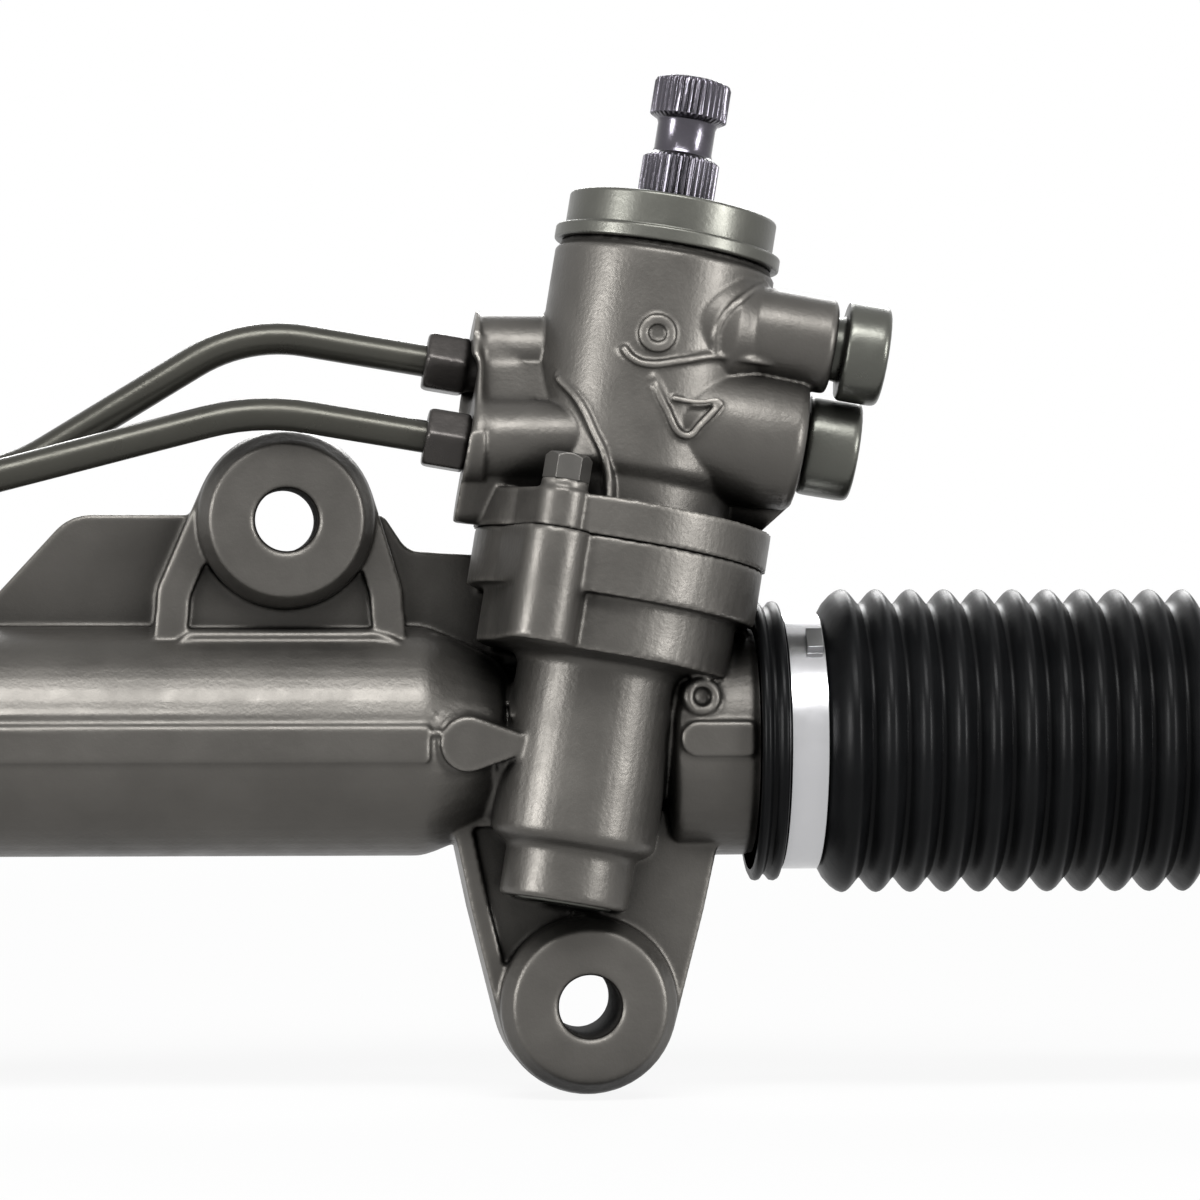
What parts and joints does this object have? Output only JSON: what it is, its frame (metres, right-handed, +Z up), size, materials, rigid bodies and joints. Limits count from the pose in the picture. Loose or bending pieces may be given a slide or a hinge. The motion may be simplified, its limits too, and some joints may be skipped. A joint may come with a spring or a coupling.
{
  "type": "steering rack",
  "caption": "Hydraulic power steering rack: a toothed rack slides in a cast tube, turned by a leaning pinion with a rotary valve, with bellows and tie rods at both ends.",
  "frame": {"origin": "middle of the lower mounting hole on the pinion side, on its axis", "axes": "+X along the rack towards the pinion end (right in the picture), +Y from the front (the side pictured) to the back along the mounting holes, +Z up"},
  "size_m": [1.138, 0.11, 0.2533],
  "materials": {
    "cast_aluminium": "sand-cast grey aluminium, satin, slightly warm",
    "cover_alloy": "turned aluminium, satin",
    "dark_steel": "black phosphated steel",
    "pipe_steel": "olive passivated steel tube",
    "plug_steel": "olive passivated steel",
    "bright_steel": "bright stainless steel",
    "shaft_steel": "dark oiled ground steel",
    "ground_steel": "ground steel",
    "black_rubber": "black rubber with a soft sheen",
    "seal_rubber": "black nitrile rubber",
    "seal_plastic": "pale low-friction plastic",
    "bronze": "sintered bronze"
  },
  "bodies": {
    "housing": {"gear_housing": "cast_aluminium", "valve_housing": "cast_aluminium", "valve_housing_bolts": "dark_steel", "housing_oring": "seal_rubber", "top_cover": "cover_alloy", "input_bearing": "bronze", "input_seal": "seal_rubber", "pressure_port_plug": "plug_steel", "return_port_plug": "plug_steel", "upper_pipe": "pipe_steel", "lower_pipe": "pipe_steel", "valve_pipe_nuts": "dark_steel", "cylinder_pipe_nuts": "dark_steel", "pinion_bearing_outer": "ground_steel", "pinion_bearing_balls": "ground_steel", "pinion_lower_bearing": "bronze", "pinion_end_plug": "plug_steel", "rack_bush_right": "seal_plastic", "inner_rack_seal": "seal_rubber", "cylinder_bulkhead": "cast_aluminium", "outer_rack_seal": "seal_rubber", "rack_bush_left": "seal_plastic", "bulkhead_circlip": "dark_steel", "rack_guide": "cover_alloy", "guide_oring": "seal_rubber", "guide_spring": "ground_steel", "guide_plug": "cover_alloy", "guide_lock_nut": "plug_steel", "bellows_right": "black_rubber", "bellows_left": "black_rubber", "band_clamp_right": "bright_steel", "band_clamp_left": "bright_steel"},
    "rack": {"rack_bar": "ground_steel", "piston": "cover_alloy", "piston_ring": "seal_plastic", "piston_circlips": "dark_steel", "ball_socket_right": "plug_steel", "ball_socket_left": "plug_steel"},
    "pinion": {"pinion_shaft": "ground_steel", "pinion_nut": "plug_steel", "pinion_bearing_inner": "ground_steel", "valve_sleeve": "ground_steel", "sleeve_seal_rings": "seal_plastic", "torsion_bar": "ground_steel"},
    "input_shaft": {"input_shaft": "shaft_steel"},
    "right_ball_seat": {"ball_seat_right": "seal_plastic"},
    "right_tie_rod": {"tie_rod_right": "plug_steel", "jam_nut_right": "plug_steel", "small_clamp_right": "bright_steel"},
    "left_ball_seat": {"ball_seat_left": "seal_plastic"},
    "left_tie_rod": {"tie_rod_left": "plug_steel", "jam_nut_left": "plug_steel", "small_clamp_left": "bright_steel"}
  },
  "joints": [
    {"name": "rack_slide", "type": "slide", "parent": "housing", "child": "rack", "axis": [1, 0, 0], "range_m": [-0.0725, 0.0725], "deforming": ["bellows_right", "bellows_left"]},
    {"name": "pinion_turn", "type": "hinge", "parent": "housing", "child": "pinion", "pos_m": [0, -0.01646, 0.06615], "axis": [0.1633, 0.0688, 0.9842], "range_deg": [-513, 513]},
    {"name": "valve_twist", "type": "hinge", "parent": "pinion", "child": "input_shaft", "pos_m": [0.0147, -0.01027, 0.15473], "axis": [0.1633, 0.0688, 0.9842], "range_deg": [-7, 7], "stiffness_Nm_per_rad": 90},
    {"name": "right_tie_rod_sweep", "type": "hinge", "parent": "rack", "child": "right_ball_seat", "pos_m": [0.159, 0, 0.065], "axis": [0, 0, 1], "range_deg": [-12, 12]},
    {"name": "right_tie_rod_rise", "type": "hinge", "parent": "right_ball_seat", "child": "right_tie_rod", "pos_m": [0.159, 0, 0.065], "axis": [0, 1, 0], "range_deg": [-18, 18]},
    {"name": "left_tie_rod_sweep", "type": "hinge", "parent": "rack", "child": "left_ball_seat", "pos_m": [-0.479, 0, 0.065], "axis": [0, 0, 1], "range_deg": [-12, 12]},
    {"name": "left_tie_rod_rise", "type": "hinge", "parent": "left_ball_seat", "child": "left_tie_rod", "pos_m": [-0.479, 0, 0.065], "axis": [0, 1, 0], "range_deg": [-18, 18]}
  ],
  "couplings": [
    {"joint": "pinion_turn", "follows": "rack_slide", "rad_per_m": -123.32}
  ]
}
